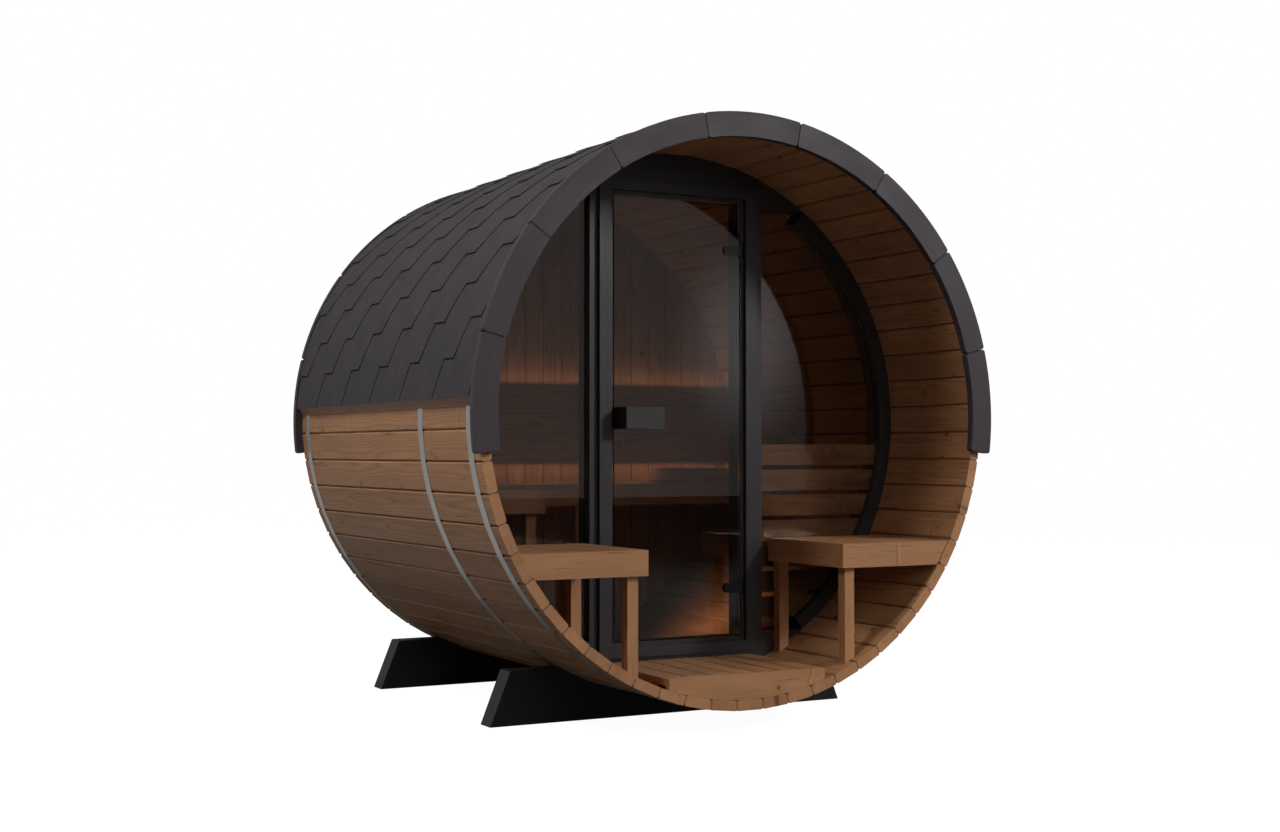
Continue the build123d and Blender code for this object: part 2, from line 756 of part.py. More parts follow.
with BuildPart() as hinge_leaves:
    for height in hinge_heights:
        with BuildSketch(section(porch_depth - fit - hinge_leaf_thickness)):
            with Locations(((fixed_left + fixed_right) / 2, height)):
                Rectangle(fixed_right - fixed_left, 2 * (knuckle_top + fixed_knuckle_length))
            for side in (-1, 1):
                arm_middle = height + side * (knuckle_top + fixed_knuckle_length / 2)
                with Locations(((hinge_x + fixed_right) / 2, arm_middle)):
                    Rectangle(fixed_right - hinge_x, fixed_knuckle_length)
        extrude(amount=-hinge_leaf_thickness)
        for low in (height - knuckle_top - fixed_knuckle_length, height + knuckle_top):
            with BuildSketch(level(low)):
                with Locations((hinge_x, hinge_at)):
                    Circle(knuckle_radius)
            extrude(amount=fixed_knuckle_length)
save(hinge_leaves, "hinge_leaves")

# Block handles at the free edge of the leaf: a web on the glass that carries a grip plate
outer_handle = (leaf_front - fit, -handle_depth, fit)
inner_handle = (leaf_back + fit, inner_handle_depth, inner_handle_inset)
for name, (foot, depth, inset) in (("handle_outer", outer_handle), ("handle_inner", inner_handle)):
    away = 1 if depth > 0 else -1
    handle_left = inset - leaf_half_width
    web_end = foot + depth - away * (handle_plate + fit)
    with BuildPart() as handle:
        with BuildSketch(level(handle_middle - handle_height / 2)):
            with Locations((handle_left + handle_web / 2, (foot + web_end) / 2)):
                Rectangle(handle_web, abs(web_end - foot))
            with Locations((handle_left + handle_width / 2, foot + depth - away * handle_plate / 2)):
                Rectangle(handle_width, handle_plate)
        extrude(amount=handle_height)
    save(handle, name)
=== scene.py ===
"""Looks of the barrel sauna: timber, shingles, steel, glass, lights and the studio."""

import math

import bpy
from bpy.props import FloatProperty, FloatVectorProperty, IntProperty, PointerProperty
from bpy.types import Operator, Panel, PropertyGroup
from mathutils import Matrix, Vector


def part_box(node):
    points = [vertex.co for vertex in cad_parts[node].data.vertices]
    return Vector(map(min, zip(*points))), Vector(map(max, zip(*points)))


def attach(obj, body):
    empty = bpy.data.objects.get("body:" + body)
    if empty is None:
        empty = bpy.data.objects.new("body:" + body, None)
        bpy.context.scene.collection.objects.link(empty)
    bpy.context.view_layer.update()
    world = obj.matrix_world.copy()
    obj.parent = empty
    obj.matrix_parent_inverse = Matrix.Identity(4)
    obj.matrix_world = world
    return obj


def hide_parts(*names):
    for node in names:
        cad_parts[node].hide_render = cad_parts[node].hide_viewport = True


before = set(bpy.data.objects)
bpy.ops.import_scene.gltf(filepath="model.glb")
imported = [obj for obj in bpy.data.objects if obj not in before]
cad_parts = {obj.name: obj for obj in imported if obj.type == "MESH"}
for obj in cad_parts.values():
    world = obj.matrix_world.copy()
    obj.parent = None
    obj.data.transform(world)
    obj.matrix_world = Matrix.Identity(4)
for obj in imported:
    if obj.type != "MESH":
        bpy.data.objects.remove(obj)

bl_info = {
    "name": "Barrel sauna",
    "version": (1, 0, 0),
    "blender": (4, 5, 0),
    "location": "3D View > Sidebar > Sauna",
    "description": "Finishes of a barrel sauna, its roof shingles, its lights and its studio",
    "category": "Object",
}

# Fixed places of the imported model, in metres. Heights count from the barrel's axis.

X, Y, Z = range(3)
AXIS_HEIGHT = 1.2175
STAVE_DEPTH_START = 1.1  # the radius from which a depth into a stave counts
ROOF_LOW, ROOF_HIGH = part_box("roof_covering")
ROOF_EDGE_ANGLE = math.radians(87.25)
ROOF_INNER_RADIUS = 1.1543
FASCIA_BLOCK_ANGLE = 2 * 97.4 / 9  # degrees
SEAT_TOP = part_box("porch_bench_left")[1][2] - AXIS_HEIGHT
DUCKBOARD_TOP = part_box("duckboard")[1][2] - AXIS_HEIGHT
CABIN_SEAT_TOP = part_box("side_bench")[1][2] - AXIS_HEIGHT
APRON_HEIGHT = 0.096
PORCH_APRON_FRONT = -1.0065
PORCH_APRON_BACK = -0.9785
PORCH_LEG_FACE = -0.978

# Boards: the pitch from board to board, the edge of one board, and the face

DUCKBOARD_PITCH, DUCKBOARD_EDGE = 0.102, -0.357
SEAT_PITCH = 0.098
PORCH_SEAT_EDGE = 0.4693 - 10 * SEAT_PITCH
SIDE_SEAT_EDGE = -0.5833 - 10 * SEAT_PITCH
REAR_SEAT_PITCH, REAR_SEAT_EDGE = 0.09988, 0.4438
BACKREST_PITCH, BACKREST_EDGE, BACKREST_FACE = 0.1082, -0.033, 0.85
REAR_WALL_PITCH, REAR_WALL_FACE = 0.097, 0.93
ONE_BOARD = 10.0  # a pitch wider than any piece, for a piece that is one board
TURNED_BOARD = 57.0  # number of the first board that runs another way

# Shingles

FIRST_TAB = -1.2825  # middle of the first tab, in front of the roof's front edge
TABS = 8  # in one row
TAB_LIFT = 0.6  # how far a tab's lower edge stands off, in thicknesses
ROW_REACH = 2.1  # how far a row runs up under the next ones, in exposures
STACK_MIDDLE = 0.004  # height over the deck at which the courses' pitch is right
SHINGLE_GAP = 0.0005  # from the shingles' ends to the covering's
NEAR = 1e-4
MERGE = 1e-5

EDGE_ROUNDING = 0.003
STUDIO_AIM = (0.0, -0.3, 1.1)
WHITE = (1.0, 1.0, 1.0)


def paint(code):
    """Turn an sRGB hex value into the linear colour that a shader takes."""
    channels = [int(code[i:i + 2], 16) / 255 for i in (0, 2, 4)]
    return tuple(c / 12.92 if c <= 0.04045 else ((c + 0.055) / 1.055) ** 2.4 for c in channels)


def rgba(colour):
    """Give a colour the alpha of one that sockets ask for."""
    return (*tuple(colour)[:3], 1.0)


# Sizes and colours that a user would change


def length(name, description, default, low, high):
    return FloatProperty(
        name=name, description=description, default=default, min=low, max=high,
        unit="LENGTH", subtype="DISTANCE",
    )


def colour(name, description, code):
    return FloatVectorProperty(
        name=name, description=description, default=paint(code), size=3, min=0, max=1,
        subtype="COLOR",
    )


def power(name, description, default, high):
    return FloatProperty(
        name=name, description=description, default=default, min=0, max=high, unit="POWER")


def strength(name, description, default):
    return FloatProperty(name=name, description=description, default=default, min=0, max=10)


class SaunaTimber(PropertyGroup):
    """Heat-treated spruce of the barrel and the benches"""

    early: colour("Early wood", "Pale wood between the growth rings", "BB885E")
    late: colour("Late wood", "Dark line of a growth ring", "A06E48")
    knot: colour("Knots", "Core of a knot", "5A3622")
    ring: length("Ring width", "Distance between growth rings", 0.005, 0.001, 0.05)
    knot_spacing: length("Knot spacing", "Distance between knots on a board", 0.24, 0.03, 2.0)
    branch_spacing: length("Branch spacing", "Distance between rings of branches", 0.6, 0.1, 3.0)
    stave_count: IntProperty(
        name="Staves", description="Staves around the barrel", default=60, min=8, max=200)


class SaunaPaint(PropertyGroup):
    """Black paint, dark stain, steel, enamel and glass"""

    black: colour("Black paint", "Paint of the front wall", "272326")
    cradle: colour("Cradle paint", "Paint of the cradles", "131213")
    stain: colour("Dark stain", "Stain of the fascia blocks", "393236")
    steel: colour("Hoop steel", "Stainless steel strip", "C4C0BC")
    enamel: colour("Enamel", "Hinge clamps and hinges", "0B0B0C")
    glass: colour("Glass tint", "Colour of light that has gone through one face", "A8A4A0")


class SaunaShingles(PropertyGroup):
    """Hexagonal bitumen shingles"""

    tab_pitch: length("Tab pitch", "From tab to tab along the barrel", 0.3432, 0.1, 1.0)
    tab_end: length("Tab end", "Width of a tab's lower edge", 0.1, 0.02, 0.5)
    thickness: length("Thickness", "Thickness of one shingle", 0.0023, 0.001, 0.01)
    courses: IntProperty(
        name="Courses", description="Courses from one edge to the ridge", default=12, min=2, max=40)
    grit: colour("Grit", "Mineral grit", "3C373B")
    edge: colour("Cut edge", "Bitumen at the shingles' cut edges", "0C0B0C")


class SaunaLights(PropertyGroup):
    """Warm lights of the cabin"""

    warm: colour("Warm light", "Colour of the light strips", "FFDCBC")
    power: power("Strip power", "Power of each strip", 0.8, 500)
    floor_power: power("Floor light", "Power of the light on the cabin's floor", 0.7, 500)


class SaunaStudio(PropertyGroup):
    """Studio lights and camera"""

    lens: FloatProperty(
        name="Focal length", description="Focal length on a 36 mm sensor", default=47.84,
        min=10, max=300)
    key: power("Key light", "Power of the soft light at the upper left", 320.0, 5000)
    front: power("Front light", "Power of the light at the front right", 300.0, 5000)
    fill: power("Fill light", "Power of the wide soft light at the front", 110.0, 5000)
    sky: strength("Surrounding light", "Strength of the even light from all sides", 0.008)
    mirrored: strength(
        "Mirrored light", "Strength of the surroundings that glass mirrors", 0.32)
    card: strength("Mirrored card", "Strength of the soft card that glass mirrors", 0.85)
    wall: strength(
        "Mirrored wall", "Strength of the wall at the left that steel mirrors", 0.5)


# Shader building


def new_material(name):
    """Make an empty material and give back it and its node tree."""
    material = bpy.data.materials.new(name)
    material.use_nodes = True
    material.node_tree.nodes.clear()
    return material, material.node_tree


def node(tree, kind, inputs=None, out=0, stops=None, family="ShaderNode", **settings):
    """Add a node with its settings, values and links, and give back one of its outputs."""
    made = tree.nodes.new(family + kind)
    for key, value in settings.items():
        setattr(made, key, value)
    for key, value in (inputs or {}).items():
        if isinstance(value, bpy.types.NodeSocket):
            tree.links.new(value, made.inputs[key])
        else:
            made.inputs[key].default_value = value
    if stops:
        ramp = made.color_ramp
        while len(ramp.elements) < len(stops):
            ramp.elements.new(0.5)
        for element, (place, tone) in zip(ramp.elements, stops):
            element.position = place
            element.color = rgba(tone)
    return made.outputs[out] if made.outputs else None


def calc(tree, operation, *values):
    """Work out one operation on numbers and outputs."""
    return node(tree, "Math", dict(enumerate(values)), operation=operation)


def product(tree, value, *factors):
    """Multiply an output by numbers and outputs."""
    for factor in factors:
        value = calc(tree, "MULTIPLY", value, factor)
    return value


def remap(tree, value, low, high, to_low, to_high, **settings):
    """Turn the span from low to high into another span."""
    return node(
        tree, "MapRange", {0: value, 1: low, 2: high, 3: to_low, 4: to_high}, **settings)


def spread(tree, pattern, to_low, to_high):
    """Turn the span in which most of a noise pattern lies into another span."""
    return remap(tree, pattern, 0.3, 0.7, to_low, to_high)


def join(tree, *parts):
    """Make a place of its parts."""
    return node(tree, "CombineXYZ", dict(enumerate(parts)))


def stretch(tree, place, scale):
    """Scale a place by axis, so that a pattern runs long one way."""
    return node(tree, "Mapping", {"Vector": place, "Scale": scale})


def noise(tree, place, scale, detail, out=0, **more):
    """Give a noise pattern."""
    return node(
        tree, "TexNoise", {"Vector": place, "Scale": scale, "Detail": detail, **more}, out=out)


def shaded(tree, tone, level):
    """Make a colour darker or lighter by a level."""
    if not isinstance(tone, bpy.types.NodeSocket):
        tone = tuple(tone)[:3]
    return node(tree, "VectorMath", {0: tone, "Scale": level}, operation="SCALE")


def bump(tree, height, distance, strength, **settings):
    """Give the normal of a surface that rises with a pattern."""
    return node(
        tree, "Bump", {"Height": height, "Distance": distance, "Strength": strength}, **settings)


def switch(tree, ray, other, chosen):
    """Take the chosen shader for one kind of ray, and the other shader for the rest."""
    return node(tree, "MixShader", {0: ray, 1: other, 2: chosen})


def glow(tree, level, kind="Emission"):
    """Give white light of a level."""
    return node(tree, kind, {"Color": rgba(WHITE), "Strength": level})


def principled(material, inputs):
    """End a material in a Principled shader, and give it back."""
    tree = material.node_tree
    node(tree, "OutputMaterial", {"Surface": node(tree, "BsdfPrincipled", inputs)})
    return material


def dress(names, material):
    """Give CAD nodes a material on every slot."""
    for name in names:
        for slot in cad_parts[name].material_slots:
            slot.material = material


def soften(piece, width):
    """Round the sharp edges of a CAD node with live modifiers, as sanding does."""
    weld = piece.modifiers.new("weld", "WELD")
    weld.merge_threshold = MERGE
    bevel = piece.modifiers.new("sanded_edges", "BEVEL")
    bevel.width = width
    bevel.segments = 2
    bevel.limit_method = "ANGLE"
    bevel.angle_limit = math.radians(35)
    bevel.harden_normals = True


# Places in boards, from which the wood's patterns are drawn


def centred_axes(tree):
    """Give the place from the barrel's axis, split by axis."""
    place = node(tree, "TexCoord", out="Object")
    place = node(tree, "Mapping", {"Vector": place, "Location": (0, 0, -AXIS_HEIGHT)})
    return node(tree, "SeparateXYZ", {0: place}).node.outputs


def stave_space(tree, count):
    """Give the place along, across and into a stave, and the stave's number."""
    x, y, z = centred_axes(tree)
    step = 2 * math.pi / count
    turn = calc(tree, "DIVIDE", calc(tree, "ARCTAN2", x, z), step)
    number = calc(tree, "ROUND", turn)
    rest = calc(tree, "SUBTRACT", turn, number)
    across = calc(tree, "MULTIPLY", rest, step * STAVE_DEPTH_START)
    square = calc(tree, "MULTIPLY_ADD", z, z, calc(tree, "MULTIPLY", x, x))
    depth = calc(tree, "SUBTRACT", calc(tree, "SQRT", square), STAVE_DEPTH_START)
    return y, across, depth, number


def block_space(tree):
    """Give the place around, outwards and into a fascia block, and the block's number."""
    y, around, outwards, number = stave_space(tree, 360 / FASCIA_BLOCK_ANGLE)
    return around, outwards, y, number


def board_space(tree, along, across, first=0.0, pitch=ONE_BOARD, face=0.0, turned=()):
    """Give the place along, across and into a board, and the board's number.

    Below the limits in turned, the piece has another board that runs another way.
    """
    axes = centred_axes(tree)
    turn = calc(tree, "DIVIDE", calc(tree, "SUBTRACT", axes[across], first), pitch)
    number = calc(tree, "FLOOR", turn)
    rest = calc(tree, "SUBTRACT", calc(tree, "SUBTRACT", turn, number), 0.5)
    beside = calc(tree, "MULTIPLY", rest, pitch)
    deep = calc(tree, "SUBTRACT", axes[3 - along - across], face)
    spot = join(tree, axes[along], beside, deep)
    for serial, (axis, limit, way, side, front) in enumerate(turned):
        beyond = calc(tree, "LESS_THAN", axes[axis], limit)
        deep = calc(tree, "SUBTRACT", axes[3 - way - side], front)
        other = join(tree, axes[way], axes[side], deep)
        spot = node(tree, "Mix", {0: beyond, 4: spot, 5: other}, out=1, data_type="VECTOR")
        number = node(
            tree, "Mix", {0: beyond, 2: number, 3: TURNED_BOARD + serial}, data_type="FLOAT")
    return (*node(tree, "SeparateXYZ", {0: spot}).node.outputs, number)


def painted_joint_shade(tree, place, joint, width, level):
    """Darken the last millimetres before a joint: painted shade of the groove between boards."""
    return remap(tree, calc(tree, "ABSOLUTE", place), joint - width, joint, 1.0, level)


# Materials


def spruce(name, space, timber, seed, shade=1.0, joint=None):
    """Heat-treated spruce, planed and oiled: fine rings, small knots, branch marks, streaks."""
    material, tree = new_material(name)
    along, across, depth, number = space(tree)
    draw = calc(tree, "ADD", number, seed)
    chance = node(tree, "TexWhiteNoise", {"W": draw}, out="Color", noise_dimensions="1D")
    one, two, three = node(tree, "SeparateColor", {0: chance}).node.outputs
    # The pith of each board's log lies off to a side and behind the face, and wanders
    shifted = calc(tree, "MULTIPLY_ADD", one, 30.0, along)
    drift = noise(tree, join(tree, shifted, draw, 0.0), 1.1, 2.0, out="Color")
    drift = node(tree, "SeparateColor", {0: drift}).node.outputs
    side = calc(tree, "MULTIPLY_ADD", calc(tree, "ADD", two, -0.5), 0.14, across)
    side = calc(tree, "MULTIPLY_ADD", drift[0], 0.03, side)
    below = calc(tree, "ADD", calc(tree, "MULTIPLY_ADD", three, 0.05, depth), 0.04)
    below = calc(tree, "MULTIPLY_ADD", drift[1], 0.035, below)
    reach = node(
        tree, "VectorMath", {0: join(tree, side, below, 0.0)}, out="Value", operation="LENGTH")
    # Knots, in a share of the cells only
    knot_x = calc(tree, "DIVIDE", shifted, timber.knot_spacing)
    knot_y = calc(tree, "DIVIDE", across, timber.knot_spacing)
    knot_y = calc(tree, "MULTIPLY_ADD", draw, 3.37, knot_y)
    knot_at = join(tree, knot_x, knot_y, 0.0)
    cells = node(
        tree, "TexVoronoi", {"Vector": knot_at, "Scale": 1.0}, voronoi_dimensions="2D").node
    luck = node(tree, "SeparateColor", {0: cells.outputs["Color"]}).node.outputs
    there = calc(tree, "LESS_THAN", luck[0], 0.4)
    size = calc(tree, "MULTIPLY_ADD", luck[1], 0.035, 0.02)
    away = calc(tree, "DIVIDE", cells.outputs["Distance"], size)
    core = product(tree, remap(tree, away, 0.6, 1.2, 0.8, 0.0), there)
    halo = remap(tree, away, 0.9, 5.5, 1.0, 0.0, interpolation_type="SMOOTHSTEP")
    halo = product(tree, halo, there)
    reach = calc(tree, "MULTIPLY_ADD", halo, 0.012, reach)
    # Growth rings, drawn about twice as wide as real ones so that the render shows them
    rings = calc(tree, "FRACT", calc(tree, "DIVIDE", reach, timber.ring))
    early, late = timber.early, timber.late
    middle = tuple(0.62 * a + 0.38 * b for a, b in zip(early, late))
    tone = node(
        tree, "ValToRGB", {0: rings},
        stops=[(0.0, middle), (0.35, early), (0.72, middle), (0.92, late), (1.0, middle)])
    # Fibres and dark streaks run along the board
    fibre_at = stretch(tree, join(tree, shifted, across, depth), (6.0, 260.0, 260.0))
    fibre = noise(tree, fibre_at, 1.0, 3.0)
    fleck = remap(tree, fibre, 0.25, 0.75, 0.91, 1.06)
    streak = noise(tree, stretch(tree, fibre_at, (0.8, 0.35, 0.35)), 1.0, 1.0)
    streak = remap(tree, streak, 0.64, 0.76, 1.0, 0.6)
    patch_at = stretch(tree, join(tree, shifted, across, draw), (2.2, 14.0, 1.0))
    patch = spread(tree, noise(tree, patch_at, 1.0, 2.0), 0.88, 1.1)
    board = remap(tree, three, 0.0, 1.0, 0.89 * shade, 1.09 * shade)
    # Where branches grew, a dark and light line about 7 mm wide crosses the board
    ripple = remap(tree, patch, 0.9, 1.08, -0.012, 0.012)
    mark = calc(tree, "DIVIDE", calc(tree, "ADD", shifted, ripple), timber.branch_spacing)
    mark_at = join(tree, calc(tree, "FLOOR", mark), draw, 0.0)
    mark_luck = node(tree, "TexWhiteNoise", {"Vector": mark_at}, noise_dimensions="2D")
    mark_there = calc(tree, "LESS_THAN", mark_luck, 0.3)
    from_mark = calc(tree, "SUBTRACT", calc(tree, "FRACT", mark), 0.5)
    from_mark = calc(tree, "MULTIPLY", from_mark, timber.branch_spacing / 0.007)
    fade = calc(tree, "EXPONENT", product(tree, from_mark, from_mark, -1.0))
    fade = product(tree, fade, from_mark, mark_there)
    branch = calc(tree, "MULTIPLY_ADD", fade, 0.55, 1.0)
    level = product(tree, fleck, patch, board, streak, branch)
    # Painted shade in the grooves along the joints between boards
    if joint:
        level = product(tree, level, painted_joint_shade(tree, across, joint, 0.004, 0.25))
    tone = shaded(tree, tone, level)
    warm = remap(tree, halo, 0.0, 1.0, 0.0, 0.4)
    for share, other in ((warm, timber.late), (core, timber.knot)):
        tone = node(tree, "Mix", {0: share, 6: tone, 7: rgba(other)}, out=2, data_type="RGBA")
    height = calc(tree, "MULTIPLY_ADD", rings, 0.35, fibre)
    height = calc(tree, "MULTIPLY_ADD", fade, 0.5, height)
    return principled(material, {
        "Base Color": tone, "Roughness": remap(tree, fibre, 0.2, 0.8, 0.44, 0.6), "IOR": 1.5,
        "Normal": bump(tree, height, 0.0006, 0.5)})


def coated_timber(name, space, tone, rough, streak, relief, joint=None):
    """Planed timber under paint or stain: the grain shows as faint streaks and relief."""
    material, tree = new_material(name)
    along, across, depth, number = space(tree)
    chance = node(tree, "TexWhiteNoise", {"W": number}, noise_dimensions="1D")
    place = join(tree, calc(tree, "MULTIPLY_ADD", chance, 9.0, along), across, depth)
    grain = noise(tree, stretch(tree, place, (5.0, 90.0, 90.0)), 1.0, 4.0, Distortion=0.6)
    cloud = noise(tree, stretch(tree, place, (4.0, 9.0, 9.0)), 1.0, 3.0)
    fine = remap(tree, grain, 0.25, 0.75, 1 - streak, 1 + streak)
    level = product(tree, fine, spread(tree, cloud, 1 - 0.7 * streak, 1 + 0.7 * streak))
    # Painted shade in the gaps along the joints between blocks
    if joint:
        level = product(tree, level, painted_joint_shade(tree, along, joint, 0.006, 0.1))
    return principled(material, {
        "Base Color": shaded(tree, tone, level),
        "Roughness": spread(tree, cloud, rough - 0.06, rough + 0.08), "IOR": 1.5,
        "Normal": bump(tree, grain, relief, 0.7)})


def mineral_grit(sizes):
    """Bitumen shingle with slate grit: matte, dark, and speckled grain by grain."""
    material, tree = new_material("bitumen_shingle_with_slate_grit")
    place = node(tree, "TexCoord", out="Object")
    # Real grit is 1 mm; it is drawn at 3 mm so that the render shows it
    grains = node(tree, "TexVoronoi", {"Vector": place, "Scale": 330.0}).node.outputs
    grain = node(tree, "SeparateColor", {0: grains["Color"]})
    cloud = noise(tree, place, 9.0, 4.0)
    streak = noise(tree, stretch(tree, place, (14.0, 60.0, 14.0)), 1.0, 3.0)
    level = product(
        tree, remap(tree, grain, 0.0, 1.0, 0.72, 1.3), spread(tree, cloud, 0.86, 1.14),
        spread(tree, streak, 0.92, 1.08))
    return principled(material, {
        "Base Color": shaded(tree, sizes.grit, level), "Roughness": 0.9, "IOR": 1.5,
        "Normal": bump(tree, grains["Distance"], 0.001, 0.6, invert=True)})


def cut_bitumen(tone):
    """Bitumen at a cut edge: black and without grit, with the tears of the knife."""
    material, tree = new_material("cut_bitumen_edge")
    tear = noise(tree, node(tree, "TexCoord", out="Object"), 120.0, 2.0)
    return principled(material, {
        "Base Color": shaded(tree, tone, spread(tree, tear, 0.7, 1.3)), "Roughness": 0.7,
        "IOR": 1.5})


def hoop_steel(tone):
    """Rolled stainless strip: fine lines around the barrel stretch the reflections."""
    material, tree = new_material("rolled_stainless_strip")
    place = node(tree, "TexCoord", out="Object")
    lines = noise(tree, stretch(tree, place, (3.0, 900.0, 3.0)), 1.0, 2.0)
    smudge = noise(tree, place, 7.0, 3.0)
    rough = calc(tree, "MULTIPLY_ADD", smudge, 0.12, spread(tree, lines, 0.26, 0.4))
    return principled(material, {
        "Base Color": shaded(tree, tone, spread(tree, lines, 0.9, 1.06)), "Metallic": 1.0,
        "Roughness": rough, "Normal": bump(tree, lines, 0.0001, 0.4)})


def tinted_glass(name, tone, sealed=False):
    """Grey tinted tempered glass: clear, smooth and a little darker; lamps shine through it."""
    material, tree = new_material(name)
    if sealed:
        # The frame holds the pane in black sealant, so nothing shines through its edges
        side = node(tree, "SeparateXYZ", {0: node(tree, "TexCoord", out="Normal")}, out=Y)
        clear = calc(tree, "GREATER_THAN", calc(tree, "ABSOLUTE", side), 0.5)
        tint = node(
            tree, "Mix", {0: clear, 6: rgba(paint("0A0A0A")), 7: rgba(tone)}, out=2,
            data_type="RGBA")
    else:
        clear, tint = 1.0, rgba(tone)
    pane = node(
        tree, "BsdfPrincipled",
        {"Base Color": tint, "Roughness": 0.0, "IOR": 1.5, "Transmission Weight": clear})
    shadow = node(tree, "BsdfTransparent", {"Color": rgba(tone)})
    ray = node(tree, "LightPath", out="Is Shadow Ray")
    node(tree, "OutputMaterial", {"Surface": switch(tree, ray, pane, shadow)})
    return material


def enamel(tone):
    """Glossy black enamel on die-cast metal: sharp lights with a slight orange peel."""
    material, tree = new_material("glossy_black_enamel")
    peel = noise(tree, node(tree, "TexCoord", out="Object"), 420.0, 1.0)
    return principled(material, {
        "Base Color": rgba(tone), "Roughness": spread(tree, peel, 0.16, 0.24), "IOR": 1.5,
        "Normal": bump(tree, peel, 0.0001, 0.3)})


def glowing_diffuser(tone):
    """Opal plastic cover of a light strip: even warm glow with faint diode spots."""
    material, tree = new_material("opal_strip_diffuser")
    place = node(tree, "TexCoord", out="Object")
    dots = noise(tree, stretch(tree, place, (120.0, 1.0, 1.0)), 1.0, 0.0)
    tint = shaded(tree, tone, spread(tree, dots, 0.85, 1.0))
    return principled(material, {
        "Base Color": tint, "Roughness": 0.4, "IOR": 1.49, "Emission Color": tint,
        "Emission Strength": 0.4})


# Mesh work by hand tools


def mode(name):
    """Go to object or edit mode."""
    bpy.ops.object.mode_set(mode=name)


def work_on(piece):
    """Select one object alone and make it the one that the tools act on."""
    if bpy.context.object and bpy.context.object.mode != "OBJECT":
        mode("OBJECT")
    bpy.ops.object.select_all(action="DESELECT")
    piece.select_set(True)
    bpy.context.view_layer.objects.active = piece


def pick(piece, kind, test):
    """Leave selected only the vertices or faces that pass a test, in edit mode."""
    mode("OBJECT")
    mesh = piece.data
    for group in (mesh.vertices, mesh.edges, mesh.polygons):
        for item in group:
            item.select = False
    for item in mesh.vertices if kind == "VERT" else mesh.polygons:
        item.select = test(item)
    mode("EDIT")
    bpy.ops.mesh.select_mode(type=kind)


def cut(piece, point, normal, test=lambda face: True, drop=False):
    """Bisect the faces that pass a test, and drop the side that the normal points to if told."""
    pick(piece, "FACE", test)
    bpy.ops.mesh.bisect(
        plane_co=point, plane_no=normal, clear_outer=drop, clear_inner=False, use_fill=False)


def wrap_on_barrel(piece, inner_radius, turn_per_metre, first_angle):
    """Bend a flat sheet around the barrel with one Geometry Nodes modifier, and apply it."""
    group = bpy.data.node_groups.new("wrap_on_barrel", "GeometryNodeTree")
    for way in ("INPUT", "OUTPUT"):
        group.interface.new_socket("Geometry", in_out=way, socket_type="NodeSocketGeometry")
    start = group.nodes.new("NodeGroupInput")
    end = group.nodes.new("NodeGroupOutput")
    place = node(group, "InputPosition", family="GeometryNode")
    climb, along, over = node(group, "SeparateXYZ", {0: place}).node.outputs
    angle = calc(group, "MULTIPLY_ADD", climb, turn_per_metre, first_angle)
    radius = calc(group, "ADD", over, inner_radius)
    x = calc(group, "MULTIPLY", calc(group, "SINE", angle), radius)
    z = calc(group, "MULTIPLY_ADD", calc(group, "COSINE", angle), radius, AXIS_HEIGHT)
    moved = node(
        group, "SetPosition", {"Geometry": start.outputs[0], "Position": join(group, x, along, z)},
        family="GeometryNode")
    group.links.new(moved, end.inputs[0])
    work_on(piece)
    bend = piece.modifiers.new("wrap", "NODES")
    bend.node_group = group
    bpy.ops.object.modifier_apply(modifier=bend.name)


def array(piece, offset, count, merge=None):
    """Copy a piece along an offset, and apply the copies to its mesh."""
    work_on(piece)
    row = piece.modifiers.new("row", "ARRAY")
    row.use_relative_offset = False
    row.use_constant_offset = True
    row.constant_offset_displace = offset
    row.count = count
    if merge:
        row.use_merge_vertices = True
        row.merge_threshold = merge
    bpy.ops.object.modifier_apply(modifier=row.name)


def shingle_course(sizes, rise, exposure, notched):
    """Model one flat row of hexagonal tabs: X climbs the roof and Z is the height over it."""
    pitch, end, thick = sizes.tab_pitch, sizes.tab_end, sizes.thickness
    reach = exposure * ROW_REACH
    bpy.ops.object.select_all(action="DESELECT")
    bpy.ops.mesh.primitive_plane_add(size=1, location=(reach / 2, 0, rise))
    row = bpy.context.object
    mode("EDIT")
    bpy.ops.mesh.select_all(action="SELECT")
    bpy.ops.transform.resize(value=(reach, pitch, 1))
    mode("OBJECT")
    bpy.ops.object.transform_apply(location=True, rotation=True, scale=True)
    for share in (0.5, 1.0, 1.5):
        cut(row, (share * exposure, 0, 0), (1, 0, 0))
    if notched:
        lean = (pitch - 2 * end) / 2
        for hand in (-1, 1):
            cut(row, (0, hand * end / 2, 0), Vector((-lean / exposure, hand, 0)).normalized(),
                lambda face: face.center.x < exposure)
        pick(row, "FACE", lambda face: face.center.x < exposure
             and abs(face.center.y) > end / 2 + lean * face.center.x / exposure)
        bpy.ops.mesh.delete(type="FACE")
    # Higher up, the row sinks under the rows that lie on it
    for share in (0.5, 1.0, 1.5, ROW_REACH):
        pick(row, "VERT", lambda point: abs(point.co.x - share * exposure) < NEAR)
        bpy.ops.transform.translate(value=(0, 0, -thick * share))
    # The lower edges stand off a little, which gives each tab its shadow
    pick(row, "VERT", lambda point: point.co.x < NEAR)
    bpy.ops.transform.translate(value=(0, 0, TAB_LIFT * thick))
    mode("OBJECT")
    array(row, (0, pitch, 0), TABS, merge=MERGE)
    return row


